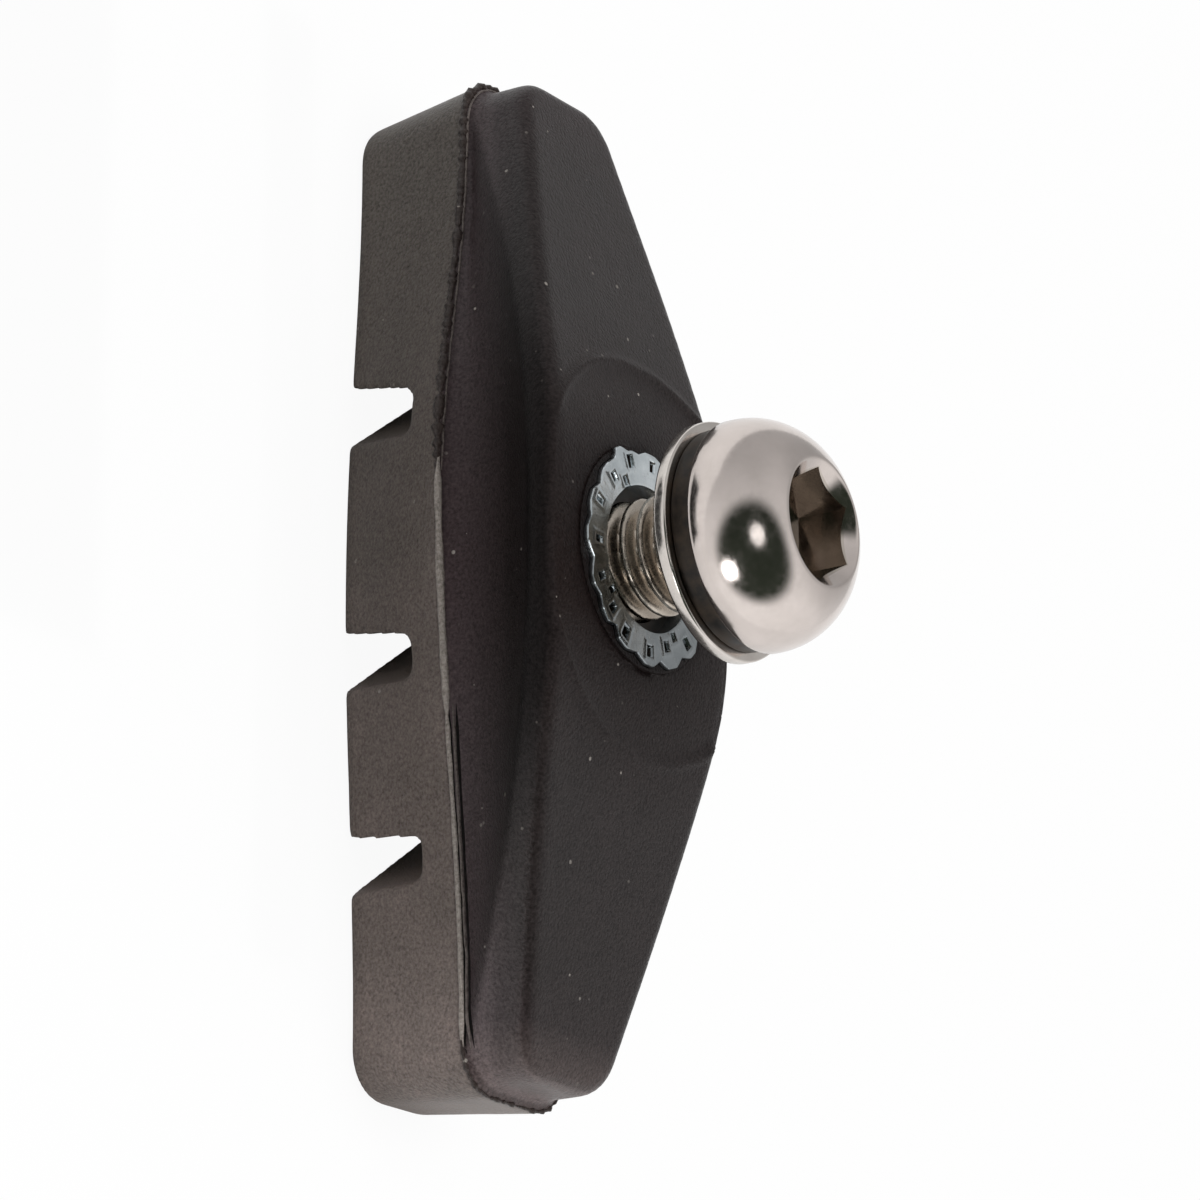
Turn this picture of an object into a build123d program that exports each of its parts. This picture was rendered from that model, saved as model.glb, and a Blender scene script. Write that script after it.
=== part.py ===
"""Brake pad for a bicycle caliper: moulded rubber block, steel insert, clamp bolt and washers.

X runs along the pad, Z is the bolt axis, and the braking face lies on Z = 0.
"""

import math
import os

from build123d import *

# Rubber block: plan of the braking face
face_length = 51.6
face_end_width = 7.5
face_mid_width = 9.4
face_shift = 0.0
face_corner = 2.4

# Rubber block: plan of the moulding ridge, whose two swellings sit apart along the pad
ridge_length = 53.0
ridge_end_width = 8.9
ridge_mid_width = 13.3
ridge_shift = 3.5
ridge_corner = 2.6

# Rubber block: boat-shaped plan of the back, and how far it leans out as it leaves its ends
back_length = 52.0
back_end_width = 8.4
back_mid_width = 16.2
back_lead = 14.0
back_corner = 2.5

# Rubber block: heights along the bolt axis, roof and rounded edges
block_depth = 7.0
ridge_height = 0.3
land_height = 8.2
land_half_length = 5.8
roof_slope = 13.5
roof_blend_radius = 20.0
roof_overrun = 2.0
roof_round = 0.8
face_round = 0.6

# Side scoops under the back: tubes of two tilted rings, highest at mid length
scoop_radius = 6.0
scoop_half_length = 22.5
scoop_reach = 11.9
scoop_height = 2.1
scoop_drop = 4.2
scoop_draw_in = 2.3

# Grooves in the braking face, slanted across the pad
groove_places = (-12.2, 0.7, 11.5)
groove_slant = 35.0
groove_floor_width = 1.9
groove_floor_round = 0.6
groove_depth = 5.0
groove_flare = 3.0
groove_round = 0.2

# Bolt and washers
thread_radius = 3.0
bolt_length = 14.0
bolt_tip_chamfer = 0.6
head_radius = 5.8
head_height = 4.15
head_rim = 0.35
socket_across_flats = 5.0
socket_depth = 3.0
socket_lip = 0.3
socket_lip_slope = 40.0
socket_land = 0.1
washer_radius = 6.0
washer_thickness = 0.7
washer_clearance = 0.2
lock_ring_radius = 5.55
lock_ring_thickness = 1.15
lock_ring_split = 0.9

# Gap for the caliper arm, between the insert and the flat washer
arm_gap = 4.1

# Steel insert moulded into the back
thread_clearance = 0.05
tip_clearance = 0.75
insert_floor = 0.8
barrel_wall = 1.35
collar_lip = 0.8
collar_thickness = 1.2
flange_radius = 5.6
flange_thickness = 1.4
flange_proud = 0.25
mouth_relief = 0.7
mouth_depth = 1.0
tooth_count = 16
tooth_notch_depth = 0.35
tooth_notch_width = 0.8
pocket_inset = 1.0
pocket_length = 0.9
pocket_width = 0.6
pocket_depth = 0.35

# Levels along the bolt axis
ridge_top = block_depth + ridge_height
land_level = block_depth + land_height
flange_top = land_level + flange_proud
flange_bottom = flange_top - flange_thickness
washer_seat = flange_top + arm_gap
lock_ring_seat = washer_seat + washer_thickness
head_seat = lock_ring_seat + lock_ring_thickness
head_top = head_seat + head_height
bolt_tip = head_seat - bolt_length
hole_bottom = bolt_tip - tip_clearance
insert_bottom = hole_bottom - insert_floor

# Radii that follow from the thread and the socket
washer_hole_radius = thread_radius + washer_clearance
insert_hole_radius = thread_radius + thread_clearance
barrel_radius = insert_hole_radius + barrel_wall
collar_radius = barrel_radius + collar_lip
mouth_radius = thread_radius + mouth_relief
pocket_circle_radius = flange_radius - pocket_inset
socket_corner_radius = socket_across_flats / math.sqrt(3)
socket_rim_radius = socket_corner_radius + socket_lip
head_flat_radius = socket_rim_radius + socket_land

# Depth of the cone that opens the socket's mouth and scallops its flats
socket_sink = (socket_rim_radius - socket_across_flats / 2) * math.tan(math.radians(socket_lip_slope))

# Z part of a normal that parts the roof's faces, tilted by its slope at most, from the upright walls
roof_facing = math.cos(math.radians(2 * roof_slope))


def swollen_side(length, end_width, mid_width, shift, corner, side):
    """One long side in plan, swelling from its two ends to a crest."""
    run = side * (length / 2 - corner)
    narrow = side * end_width / 2
    crest = (side * shift, side * mid_width / 2)
    heading = (-side, 0)
    Spline((run, narrow), crest, tangents=(heading, heading))
    Spline(crest, (-run, narrow), tangents=(heading, heading))


def square_end(length, end_width, corner, side):
    """One end in plan: a straight edge between two quarter rounds."""
    tip = side * length / 2
    run = side * (length / 2 - corner)
    wide = side * end_width / 2
    square = side * (end_width / 2 - corner)
    RadiusArc((run, -wide), (tip, -square), -corner)
    Line((tip, -square), (tip, square))
    RadiusArc((tip, square), (run, wide), -corner)


def swollen_outline(length, end_width, mid_width, shift, corner):
    """Closed plan with a swelling on each long side, shifted apart along the pad."""
    for side in (1, -1):
        swollen_side(length, end_width, mid_width, shift, corner, side)
        square_end(length, end_width, corner, side)


def face_outline():
    """Plan of the braking face."""
    swollen_outline(face_length, face_end_width, face_mid_width, face_shift, face_corner)


def ridge_outline():
    """Plan of the moulding ridge."""
    swollen_outline(ridge_length, ridge_end_width, ridge_mid_width, ridge_shift, ridge_corner)


def back_outline():
    """Boat-shaped plan of the back: rounded ends and sides that widen to the middle."""
    lead = math.radians(back_lead)
    tip = back_length / 2
    square = back_end_width / 2 - back_corner
    bend_x = tip - back_corner + back_corner * math.sin(lead)
    bend_y = square + back_corner * math.cos(lead)
    for side in (1, -1):
        opening = (-side * math.cos(lead), side * math.sin(lead))
        closing = (-side * math.cos(lead), -side * math.sin(lead))
        Spline(
            (side * bend_x, side * bend_y),
            (0, side * back_mid_width / 2),
            (-side * bend_x, side * bend_y),
            tangents=(opening, closing),
        )
        RadiusArc((side * bend_x, -side * bend_y), (side * tip, -side * square), -back_corner)
        Line((side * tip, -side * square), (side * tip, side * square))
        RadiusArc((side * tip, side * square), (side * bend_x, side * bend_y), -back_corner)


def roof_section():
    """Side view of the back: a flat land round the bolt and a slope to each end."""
    eave_x = back_length / 2 + roof_overrun
    eave_z = land_level - (eave_x - land_half_length) * math.tan(math.radians(roof_slope))
    roof = FilletPolyline(
        (-eave_x, eave_z),
        (-land_half_length, land_level),
        (land_half_length, land_level),
        (eave_x, eave_z),
        radius=roof_blend_radius,
    )
    Polyline(roof @ 0, (-eave_x, 0), (eave_x, 0), roof @ 1)


def scoop_ring(side):
    """Plane and radius of the ring whose tube hollows one side of the back."""
    bow = math.hypot(scoop_drop, scoop_draw_in)
    ring_radius = (scoop_half_length**2 + bow**2) / (2 * bow)
    centre_y = scoop_reach - ring_radius * scoop_draw_in / bow
    centre_z = block_depth + scoop_height - ring_radius * scoop_drop / bow
    plane = Plane(
        origin=(0, side * centre_y, centre_z),
        x_dir=(1, 0, 0),
        z_dir=(0, side * scoop_drop, -scoop_draw_in),
    )
    return plane, ring_radius


def groove_section():
    """Section of a groove: floor with rounded corners, walls that open a little, rounded mouth."""
    flare = math.tan(math.radians(groove_flare))
    floor = groove_floor_width / 2
    throat = floor + (groove_depth - groove_round) * flare
    mouth = throat + groove_round
    FilletPolyline(
        (throat, groove_round),
        (floor, groove_depth),
        (-floor, groove_depth),
        (-throat, groove_round),
        radius=groove_floor_round,
    )
    RadiusArc((-throat, groove_round), (-mouth, 0), groove_round)
    Line((-mouth, 0), (mouth, 0))
    RadiusArc((mouth, 0), (throat, groove_round), groove_round)


def insert_section():
    """Half section of the insert's outside: flange, barrel and holding collar."""
    collar_top = insert_bottom + collar_thickness
    Polyline(
        (0, insert_bottom),
        (collar_radius, insert_bottom),
        (collar_radius, collar_top),
        (barrel_radius, collar_top),
        (barrel_radius, flange_bottom),
        (flange_radius, flange_bottom),
        (flange_radius, flange_top),
        (0, flange_top),
        close=True,
    )


def bolt_section():
    """Half section of the bolt: pointed tip, shank and domed head."""
    dome_inset = head_radius - head_flat_radius
    dome_rise = head_height - head_rim
    dome_radius = (dome_inset**2 + dome_rise**2) / (2 * dome_inset)
    Polyline(
        (head_flat_radius, head_top),
        (0, head_top),
        (0, bolt_tip),
        (thread_radius - bolt_tip_chamfer, bolt_tip),
        (thread_radius, bolt_tip + bolt_tip_chamfer),
        (thread_radius, head_seat),
        (head_radius, head_seat),
        (head_radius, head_seat + head_rim),
    )
    RadiusArc((head_radius, head_seat + head_rim), (head_flat_radius, head_top), -dome_radius)


os.makedirs("parts", exist_ok=True)

# Rubber block
with BuildPart() as brake_block:
    # Back, with upright sides under a sloping roof
    with BuildSketch(Plane.XY.offset(ridge_top)):
        with BuildLine():
            back_outline()
        make_face()
    extrude(amount=land_height)
    with BuildSketch(Plane.XZ):
        with BuildLine():
            roof_section()
        make_face()
    extrude(amount=back_mid_width, both=True, mode=Mode.INTERSECT)

    # Rounded rim of the roof
    roof_faces = brake_block.faces().filter_by(lambda face: face.normal_at().Z > roof_facing)
    wall_faces = brake_block.faces().filter_by(lambda face: abs(face.normal_at().Z) < roof_facing)
    fillet(roof_faces.edges() & wall_faces.edges(), roof_round)

    # Side scoops
    for side in (1, -1):
        ring_plane, ring_radius = scoop_ring(side)
        with Locations(ring_plane):
            Torus(ring_radius, scoop_radius, mode=Mode.SUBTRACT)

    # Moulding ridge
    with BuildSketch(Plane.XY.offset(block_depth)):
        with BuildLine():
            ridge_outline()
        make_face()
    extrude(amount=ridge_height)

    # Front, from the braking face to the ridge, with the face's edges rounded
    with BuildSketch(Plane.XY):
        with BuildLine():
            face_outline()
        make_face()
    with BuildSketch(Plane.XY.offset(block_depth)):
        with BuildLine():
            ridge_outline()
        make_face()
    loft(ruled=True)
    fillet(brake_block.faces().sort_by(Axis.Z)[0].outer_wire().edges(), face_round)

    # Grooves
    slant = math.radians(groove_slant)
    for place in groove_places:
        groove_plane = Plane(
            origin=(place, 0, 0),
            x_dir=(math.cos(slant), math.sin(slant), 0),
            z_dir=(math.sin(slant), -math.cos(slant), 0),
        )
        with BuildSketch(groove_plane):
            with BuildLine():
                groove_section()
            make_face()
        extrude(amount=ridge_mid_width, both=True, mode=Mode.SUBTRACT)

    # Seat of the insert
    with BuildSketch(Plane.XZ):
        with BuildLine():
            insert_section()
        make_face()
    revolve(axis=Axis.Z, mode=Mode.SUBTRACT)

brake_block.part.label = "brake_block"
export_step(brake_block.part, "parts/brake_block.step")

# Steel insert, with a notched flange and a ring of small pockets
with BuildPart() as threaded_insert:
    with BuildSketch(Plane.XZ):
        with BuildLine():
            insert_section()
        make_face()
    revolve(axis=Axis.Z)
    with Locations((0, 0, flange_top)):
        CounterBoreHole(
            radius=insert_hole_radius,
            counter_bore_radius=mouth_radius,
            counter_bore_depth=mouth_depth,
            depth=flange_top - hole_bottom,
        )
    with BuildSketch(Plane.XY.offset(flange_top)):
        with PolarLocations(flange_radius, tooth_count, start_angle=180 / tooth_count):
            Rectangle(2 * tooth_notch_depth, tooth_notch_width)
    extrude(amount=-flange_proud, mode=Mode.SUBTRACT)
    with BuildSketch(Plane.XY.offset(flange_top)):
        with PolarLocations(pocket_circle_radius, tooth_count):
            Rectangle(pocket_length, pocket_width)
    extrude(amount=-pocket_depth, mode=Mode.SUBTRACT)

threaded_insert.part.label = "threaded_insert"
export_step(threaded_insert.part, "parts/threaded_insert.step")

# Flat washer
with BuildPart() as flat_washer:
    with BuildSketch(Plane.XY.offset(washer_seat)):
        Circle(washer_radius)
        Circle(washer_hole_radius, mode=Mode.SUBTRACT)
    extrude(amount=washer_thickness)

flat_washer.part.label = "flat_washer"
export_step(flat_washer.part, "parts/flat_washer.step")

# Spring ring, split on one side
with BuildPart() as lock_washer:
    with BuildSketch(Plane.XY.offset(lock_ring_seat)):
        Circle(lock_ring_radius)
        Circle(washer_hole_radius, mode=Mode.SUBTRACT)
        with Locations((0, lock_ring_radius)):
            Rectangle(lock_ring_split, 2 * (lock_ring_radius - thread_radius), mode=Mode.SUBTRACT)
    extrude(amount=lock_ring_thickness)

lock_washer.part.label = "lock_washer"
export_step(lock_washer.part, "parts/lock_washer.step")

# Clamp bolt with a domed head and a hexagon socket
with BuildPart() as clamp_bolt:
    with BuildSketch(Plane.XZ):
        with BuildLine():
            bolt_section()
        make_face()
    revolve(axis=Axis.Z)
    with BuildSketch(Plane.XY.offset(head_top)):
        RegularPolygon(socket_corner_radius, 6)
    extrude(amount=-socket_depth, mode=Mode.SUBTRACT)
    with BuildSketch(Plane.XY.offset(head_top)):
        Circle(socket_rim_radius)
    with BuildSketch(Plane.XY.offset(head_top - socket_sink)):
        Circle(socket_across_flats / 2)
    loft(mode=Mode.SUBTRACT)

clamp_bolt.part.label = "clamp_bolt"
export_step(clamp_bolt.part, "parts/clamp_bolt.step")
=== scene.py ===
"""Looks of a bicycle rim brake pad: moulded rubber block, zinc insert, chrome bolt and washers.

Everything is in metres in the frame of the CAD model: X along the pad, Z along the bolt, braking face
on Z = 0.
"""

import math
import random

import bmesh
import bpy
import numpy as np
from mathutils import Matrix, Vector, noise
from mathutils.bvhtree import BVHTree


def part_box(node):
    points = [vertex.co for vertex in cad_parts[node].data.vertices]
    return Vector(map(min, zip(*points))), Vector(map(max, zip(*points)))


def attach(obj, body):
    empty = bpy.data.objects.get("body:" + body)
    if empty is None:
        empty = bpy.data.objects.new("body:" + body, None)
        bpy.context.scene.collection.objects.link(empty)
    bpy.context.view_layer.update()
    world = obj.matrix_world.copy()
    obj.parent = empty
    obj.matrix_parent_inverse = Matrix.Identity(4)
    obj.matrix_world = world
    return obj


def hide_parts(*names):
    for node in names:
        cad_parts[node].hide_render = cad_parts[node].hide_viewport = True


MM = 0.001
SEED = 11

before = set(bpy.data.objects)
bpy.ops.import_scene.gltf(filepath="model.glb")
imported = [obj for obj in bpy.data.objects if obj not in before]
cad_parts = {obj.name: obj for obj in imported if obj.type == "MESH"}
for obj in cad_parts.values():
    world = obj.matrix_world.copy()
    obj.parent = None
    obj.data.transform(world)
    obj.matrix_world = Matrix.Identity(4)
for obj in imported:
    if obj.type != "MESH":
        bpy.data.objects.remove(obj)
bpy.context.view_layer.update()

# Corners read from the CAD model
_, block_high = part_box("brake_block")
insert_low, insert_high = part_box("threaded_insert")
washer_low, washer_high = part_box("flat_washer")
ring_low, ring_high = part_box("lock_washer")
bolt_low, bolt_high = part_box("clamp_bolt")

# Shading: folds sharper than this many degrees stay sharp, and where the middle of a small round edge lies
SHARP_ANGLE = 40
BOLT_SHARP_ANGLE = 35
EDGE_MIDDLE = 0.3

# Rubber block: levels, roof and the even grid on which it is rebuilt
RIDGE_LEVEL = 7.0 * MM
RIDGE_TOP = 7.3 * MM
LEVEL_SLACK = 0.01 * MM
LAND_HALF_LENGTH = 5.8 * MM
ROOF_SLOPE = math.radians(13.5)
GRID = 0.232 * MM
EASE = 0.5
EASE_ROUNDS = 4

# Rubber block: where the folds of the back are eased further, each as a start and a full effect
BACK_EASE_ROUNDS = 10
BACK_EASE = (0.3 * MM, 1.2 * MM)
LEDGE_EASE = (0.25 * MM, 0.6 * MM)
LEDGE_SLACK = 0.3 * GRID
SEAT_EASE = (5.6 * MM, 7.0 * MM)
RIM_EASE = (0.5 * MM, 1.5 * MM)
END_EASE = (0.86, 0.93)

# Rubber block: waviness, and the round line that the mould left on the roof
UNDULATION = 0.03 * MM
UNDULATION_SIZE = 7.0 * MM
WITNESS_MIDDLE = (-0.4 * MM, 1.2 * MM)
WITNESS_RADIUS = 10.2 * MM
WITNESS_LINE = 0.15 * MM
WITNESS_WIDTH = 0.25 * MM
WITNESS_STEP = 0.1 * MM
ROOF_FACING = (0.8, 0.95)

# Side scoops: the tube that hollows each side, and the painted light and shade of the rubber in it and on
# the walls beside it
SCOOP_RADIUS = 6.0 * MM
SCOOP_HALF_LENGTH = 22.5 * MM
SCOOP_REACH = 11.9 * MM
SCOOP_LEVEL = 9.1 * MM
SCOOP_DROP = 4.2 * MM
SCOOP_DRAW_IN = 2.3 * MM
SCOOP_EDGE = 0.25 * MM
SCOOP_FOOT = -4.3 * MM
SCOOP_CREASE = 2.2 * MM
SCOOP_TONES = (1.35, 0.6)
WALL_FACING = (0.3, 0.7)
WALL_RUN = (8.0 * MM, 18.0 * MM)
WALL_TONES = (0.9, 0.35)

# Flash along the moulding ridge: how coarse it is, and where its kinds change along the pad
FLASH_SPACING = 0.09 * MM
FLASH_SIDES = 6
FLASH_GRAIN = 0.3 * MM
FLASH_WAVE = 1.5 * MM
WAVE_SHIFT = 3.0
FLASH_CHANGE = 2.4 * MM
RAGGED_END = -4.8 * MM
BAND_END = 8.0 * MM
DOUBLE_END = 24.2 * MM
HEADING_SPAN = 3
NORMAL_BLUR = 3
LEAST_WIDTH = 0.02 * MM
SHORTEST_RUN = 4

# Flash: half width, height, inset from the ridge's edge and lift of each line; the last two are dark strips
# of painted shadow
LIP = (0.2 * MM, 0.13 * MM, -0.06 * MM, -0.12 * MM)
TIP_LIP = (0.1 * MM, 0.12 * MM, 0.0, 0.0)
GLINT = (0.1 * MM, 0.16 * MM, -0.04 * MM, -0.12 * MM)
LIP_LINE = (0.07 * MM, 0.07 * MM, 0.3 * MM, 0.0)
BAND = (0.2 * MM, 0.1 * MM, 0.1 * MM, 0.0)
OUTER_LINE = (0.15 * MM, 0.12 * MM, 0.06 * MM, 0.0)
INNER_LINE = (0.09 * MM, 0.1 * MM, 0.42 * MM, 0.28 * MM)
LINE_SHADOW = (0.13 * MM, 0.03 * MM, 0.3 * MM, 0.02 * MM)
INNER_SHADOW = (0.09 * MM, 0.03 * MM, 0.42 * MM, 0.48 * MM)

# Flash: how uneven its lines are, where it glints with painted highlights, and the one peak at a corner
ROUGH_GRAIN = 1.1
ROUGH_WAVE = 0.4
EVEN_WAVE = 0.25
LEAST_SIZE = 0.15
SPOT_WAVE = (0.05, 0.4)
SPOT_GRAIN = (-0.1, 0.3)
PEAK_PLACE = (-25.6 * MM, -3.9 * MM)
PEAK_SIZE = 0.35 * MM
PEAK_RISE = 0.15 * MM

# Insert: barrel, hole and flange
HOLE_RADIUS = 3.05 * MM
MOUTH_RADIUS = 3.7 * MM
MOUTH_DEPTH = 1.0 * MM
INSERT_FLOOR = 0.8 * MM
BARREL_RADIUS = 4.4 * MM
COLLAR_RADIUS = 5.2 * MM
COLLAR_THICKNESS = 1.2 * MM
FLANGE_THICKNESS = 1.4 * MM
FLANGE_EDGE = 0.1 * MM
FLANGE_STEPS = 40

# Insert: uneven teeth of the flange, and the rubber that closes up to them
TEETH = 16
TOOTH_SEGMENTS = 32
TOOTH_SHIFT = 0.1
RIM_RADIUS = 5.52 * MM
RIM_SHIFT = 0.14 * MM
NOTCH_DEPTH = 0.35 * MM
NOTCH_DEPTHS = (0.5, 1.3)
NOTCH_WIDTHS = (0.25, 0.42)
BURR_ANGLE = math.radians(-150)
BURR_HALF_ANGLE = math.radians(10)
BURR_REACH = 0.55 * MM
CLOSE_FIT = 0.03 * MM
CLOSE_REACH = 0.1 * MM
CLOSE_DEPTH = 0.8 * MM
CLOSE_SINK = 0.04 * MM

# Insert: pockets in the flange
POCKET_RADIUS = 4.75 * MM
POCKET_LENGTH = 0.62 * MM
POCKET_WIDTH = 0.44 * MM
POCKET_DEPTH = 0.4 * MM
POCKET_WALL = 0.12 * MM
POCKET_LIP = 0.04 * MM
POCKET_TURN = 0.07
POCKET_SHIFT = (-0.35 * MM, 0.2 * MM)
POCKET_SIZES = (0.8, 1.15)
INNER_POCKET_RADIUS = 4.1 * MM
INNER_POCKET_EVERY = 4

# Washers
WASHER_HOLE = 3.2 * MM
WASHER_EDGE = 0.14 * MM
RING_EDGE = 0.18 * MM
RING_SPLIT = 0.9 * MM
CORNER_STEPS = 4
LATHE_SEGMENTS = 180

# Bolt: thread
BOLT_SEGMENTS = 144
THREAD_RADIUS = 3.0 * MM
THREAD_PITCH = 1.0 * MM
THREAD_DEPTH = 0.56 * MM
THREAD_STEPS = 16
THREAD_GROOVE = (0.08, 0.5)
THREAD_START = 0.02 * MM
THREAD_STOP = 0.1 * MM
TIP_CHAMFER = 0.6 * MM

# Bolt: head and socket
HEAD_RIM = 0.35 * MM
HEAD_EDGE = 0.1 * MM
HEAD_FLAT_RADIUS = 3.287 * MM
DOME_STEPS = 40
SOCKET_RIM_RADIUS = 3.187 * MM
SOCKET_LAND = 0.03 * MM
SOCKET_EDGE = 0.01 * MM
SOCKET_FLATS = 5.0 * MM
SOCKET_DEPTH = 3.0 * MM
SOCKET_POINT = 0.5 * MM
SOCKET_LIP_SLOPE = math.radians(40)
SOCKET_FLOOR_SHARES = (0.85, 0.5, 0.15)
LIP_STEPS = 6
WALL_STEPS = 8

# Rubber: colours of the block's parts, of its flash and of the dust on it. The scoop, front and end colours
# are painted light, the two pale flash colours painted highlights, and the two darkest colours painted
# shadow in the clefts beside the flash
RUBBER = (0.0145, 0.0098, 0.0094)
SCOOP_LIGHT_RUBBER = (0.042, 0.028, 0.03)
FRONT_LIGHT_RUBBER = (0.09, 0.075, 0.064)
END_LIGHT_RUBBER = (0.26, 0.2, 0.182)
LIP_RUBBER = (0.038, 0.028, 0.025)
HIGHLIGHT_RUBBER = (0.3, 0.265, 0.24)
DIM_HIGHLIGHT_RUBBER = (0.12, 0.1, 0.092)
DUST = (0.34, 0.31, 0.28)
CLEFT_SHADOW_DARK = (0.003, 0.0025, 0.0025)
CLEFT_SHADOW_LIGHT = (0.01, 0.0085, 0.008)

# Rubber: where its colours change, with painted light low on the back and towards one end, and a band of
# painted shade under the roof's rim
SCOOP_TOP = 11.5 * MM
FADE_START = -0.8
TIP_START = 0.88
TIP_SHARE = 0.2
RIM_BAND_TOP = (0.25 * MM, 0.6 * MM)
RIM_BAND_FOOT = (1.7 * MM, 2.3 * MM)
RIM_BAND_RUN = (8.0 * MM, 13.0 * MM)
RIM_BAND_SHADES = (0.45, 0.25)

# Rubber: blotches, grain, dust and shine, with less shine round the insert as painted shade
BLOTCH_SIZE = 5.0 * MM
BLOTCH_RANGE = (0.3, 0.72)
BLOTCH_SHADE = 0.75
GRAIN_SIZE = 0.16 * MM
GRAIN_RANGE = (0.3, 0.7)
GRAIN_TONE = (0.6, 1.4)
GRAIN_BUMP = (0.8, 0.09 * MM)
COARSE_SIZE = 1.1 * MM
COARSE_BUMP = (0.35, 0.08 * MM)
ROUGH_RANGE = (0.25, 0.75)
RUBBER_ROUGH = (0.27, 0.5)
DUST_SPACING = 1.0 * MM
DUST_SIZES = (0.03, 0.13)
DUST_EDGE = 0.04
DUST_PICK = (0.55, 0.95)
DUST_COVER = 0.9
SHINE_REACH = (5.1 * MM, 13.26 * MM)
BACK_SHINE = (0.09, 0.3)
FRONT_SHINE = 0.38
CLEFT_SHADOW_SIZE = 0.3 * MM
CLEFT_SHADOW_ROUGH = 0.9
CLEFT_SHADOW_SHINE = 0.1

# Plated metals: two colours, range of roughness, size of the grain, strength and depth of its bump
ZINC = ((0.6, 0.66, 0.69), (0.9, 0.96, 0.99), (0.14, 0.28), 0.5 * MM, (0.5, 0.05 * MM))
CHROME = ((0.6, 0.54, 0.505), (0.68, 0.61, 0.575), (0.1, 0.2), 0.3 * MM, (0.06, 0.01 * MM))
THREAD = ((0.36, 0.31, 0.26), (0.6, 0.54, 0.47), (0.18, 0.35), 0.3 * MM, (0.2, 0.02 * MM))
BRIGHT = ((0.6, 0.55, 0.51), (0.74, 0.7, 0.66), (0.12, 0.24), 0.25 * MM, (0.1, 0.01 * MM))
DULL = ((0.45, 0.4, 0.36), (0.62, 0.56, 0.5), (0.1, 0.22), 0.3 * MM, (0.1, 0.01 * MM))
CLOUD_SIZE = 1.6 * MM
CLOUD_RANGE = (0.3, 0.75)
# Painted shade: the zinc is darkened towards +X, where the washer and bolt hang over it
ZINC_PAINTED_SHADE = 0.42
PAINTED_SHADE_RUN = (-4.5 * MM, 3.0 * MM)

# Blackened steel
STEEL_DARK = (0.012, 0.01, 0.009)
STEEL_BROWN = (0.05, 0.035, 0.024)
STEEL_RANGE = (0.35, 0.7)
STEEL_ROUGH = (0.3, 0.5)
STEEL_METALLIC = 0.6
STEEL_CLOUD = 0.9 * MM
STEEL_BUMP = (0.3, 0.03 * MM)

# Camera, from the photograph
VIEW_AZIMUTH = math.radians(21.1)
VIEW_ELEVATION = math.radians(32.1)
VIEW_ROLL = math.radians(78.2)
VIEW_DISTANCE = 265.6 * MM
VIEW_RIGHT = 4.54 * MM
VIEW_UP = -0.563 * MM
VIEW_LENS = 158.6
VIEW_NEAR = 0.01
VIEW_FAR = 10.0
SENSOR = 36.0

# Studio: floor, and sky with the outer and inner edges of its two cones
FLOOR_REACH = 2.0
FLOOR_NEAR = 0.065
FLOOR_WHITE = 0.8
FLOOR_GLOW = 0.94
GLOW_REACH = (0.03, 0.06)
SKY_LEVELS = (0.5, 1.15)
FAR_SIDE = (-0.3, 0.79, 0.5)
FAR_DIM = 0.72
FAR_CONE = (math.radians(50), math.radians(18))
DARK_SIDE = (0.5, -0.55, 0.67)
DARK_CONE = (math.radians(56), math.radians(40))
DARK_COLOR = (0.03, 0.038, 0.028)

# Studio: left, right, near and far edges of the flags on the floor; the deep flag is a black sheet that
# stands for the pad's shade on the floor beside it, as painted shade seen in reflections
BAND_FLAG = (-0.03, 0.008, -0.046, -0.0235)
DEEP_FLAG = (-0.03, 0.02, -0.0115, -0.0075)
FLAG_HEIGHT = 0.001
FLAG_BLACK = 0.015

# Studio: direction, distance, size and power of the lamps
HIGH_LAMP = ((0.2, -0.57, 0.8), 0.15, 0.05, 0.009)
LOW_LAMP = ((0.73, -0.68, 0.08), 0.15, 0.05, 0.03)
TOP_LAMP = ((0, -0.1, 1), 0.45, 0.3, 1.5)


def placed(name, data):
    """New object in the scene."""
    made = bpy.data.objects.new(name, data)
    bpy.context.scene.collection.objects.link(made)
    return made


def new_piece(name, mesh, slot, *nodes):
    """Object of the part, riding on its one body and standing for CAD nodes."""
    piece = placed(name, mesh)
    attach(piece, "root")
    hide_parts(*nodes)
    return piece


def vertex_array(mesh, what="co"):
    """Vertex positions or normals of a mesh as an array."""
    values = np.zeros(len(mesh.vertices) * 3, np.float32)
    mesh.vertices.foreach_get(what, values)
    return values.reshape(-1, 3).astype(float)


def move_vertices(mesh, points):
    """Put the vertices of a mesh at new positions."""
    mesh.vertices.foreach_set("co", points.astype(np.float32).ravel())
    mesh.update()


def even_turns(count):
    """Angles spread evenly round a circle."""
    return np.arange(count) * 2 * math.pi / count


def grid_faces(rows, columns, closed_rows=False, closed_columns=True):
    """Quads between neighbouring rows of a grid of vertices."""
    row_count = rows if closed_rows else rows - 1
    column_count = columns if closed_columns else columns - 1
    row, column = np.meshgrid(np.arange(row_count), np.arange(column_count), indexing="ij")
    next_row = (row + 1) % rows
    next_column = (column + 1) % columns
    corners = (
        row * columns + column,
        row * columns + next_column,
        next_row * columns + next_column,
        next_row * columns + column,
    )
    return np.stack([corner.ravel() for corner in corners], axis=1).tolist()


def mesh_from(name, points, faces, sharp_angle=None):
    """Smooth-shaded mesh with its normals facing out."""
    mesh = bpy.data.meshes.new(name)
    mesh.from_pydata(points, [], faces)
    shape = bmesh.new()
    shape.from_mesh(mesh)
    bmesh.ops.recalc_face_normals(shape, faces=shape.faces)
    shape.to_mesh(mesh)
    shape.free()
    mesh.shade_smooth()
    if sharp_angle is not None:
        mesh.set_sharp_from_angle(angle=math.radians(sharp_angle))
    return mesh


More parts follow.
